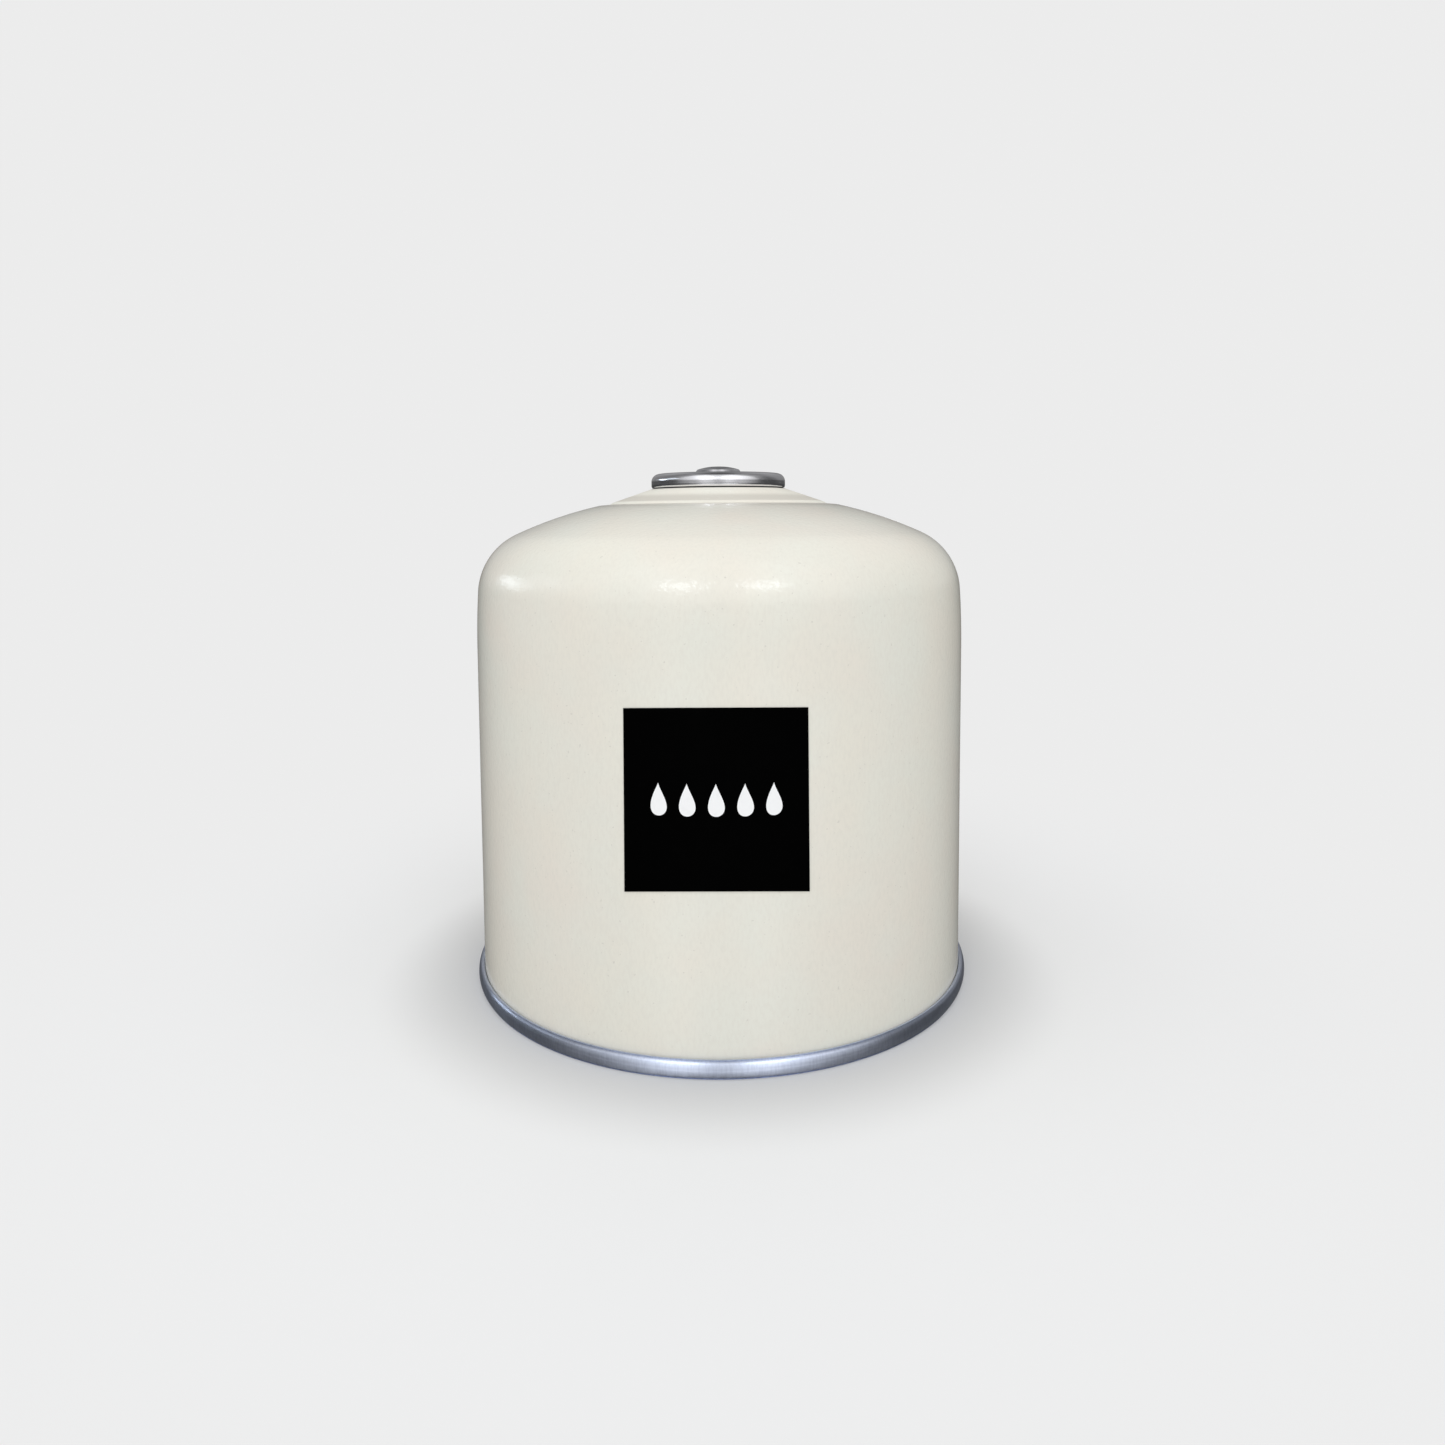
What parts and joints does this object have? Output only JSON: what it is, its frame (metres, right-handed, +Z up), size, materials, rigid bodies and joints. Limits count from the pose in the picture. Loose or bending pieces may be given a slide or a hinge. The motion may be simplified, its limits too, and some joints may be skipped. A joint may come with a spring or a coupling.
{
  "type": "gas cartridge",
  "caption": "Squat self-sealing gas cartridge: a pressed steel can with a domed shoulder, rolled foot seam and a crimped valve cup whose sprung valve is pressed open by a pin.",
  "frame": {"origin": "centre of the foot, on the surface the can stands on", "axes": "+Z up along the can's axis, out of the valve; the label faces -Y"},
  "size_m": [0.11, 0.11, 0.1126],
  "materials": {
    "body_paint": "glossy cream enamel over thin steel sheet",
    "tinned_steel": "bare tinned steel, dulled and finely streaked",
    "tinplate": "bright tinplate",
    "sealing_compound": "matte",
    "gasket_rubber": "matte",
    "valve_plastic": "natural acetal",
    "plunger_plastic": "natural acetal",
    "spring_steel": "drawn stainless wire",
    "label_film": "black printed film"
  },
  "bodies": {
    "canister": {"body_shell": "body_paint", "base_plate": "tinned_steel", "seam_compound": "sealing_compound", "valve_cup": "tinplate", "cup_gasket": "gasket_rubber", "stem_gasket": "gasket_rubber", "valve_housing": "valve_plastic", "valve_spring": "spring_steel", "label": "label_film"},
    "plunger": {"valve_plunger": "plunger_plastic"}
  },
  "joints": [
    {"name": "plunger_press", "type": "slide", "parent": "canister", "child": "plunger", "axis": [0, 0, -1], "range_m": [0, 0.002], "stiffness_N_per_m": 1500, "springref_m": -0.003, "deforming": ["valve_spring"]}
  ]
}
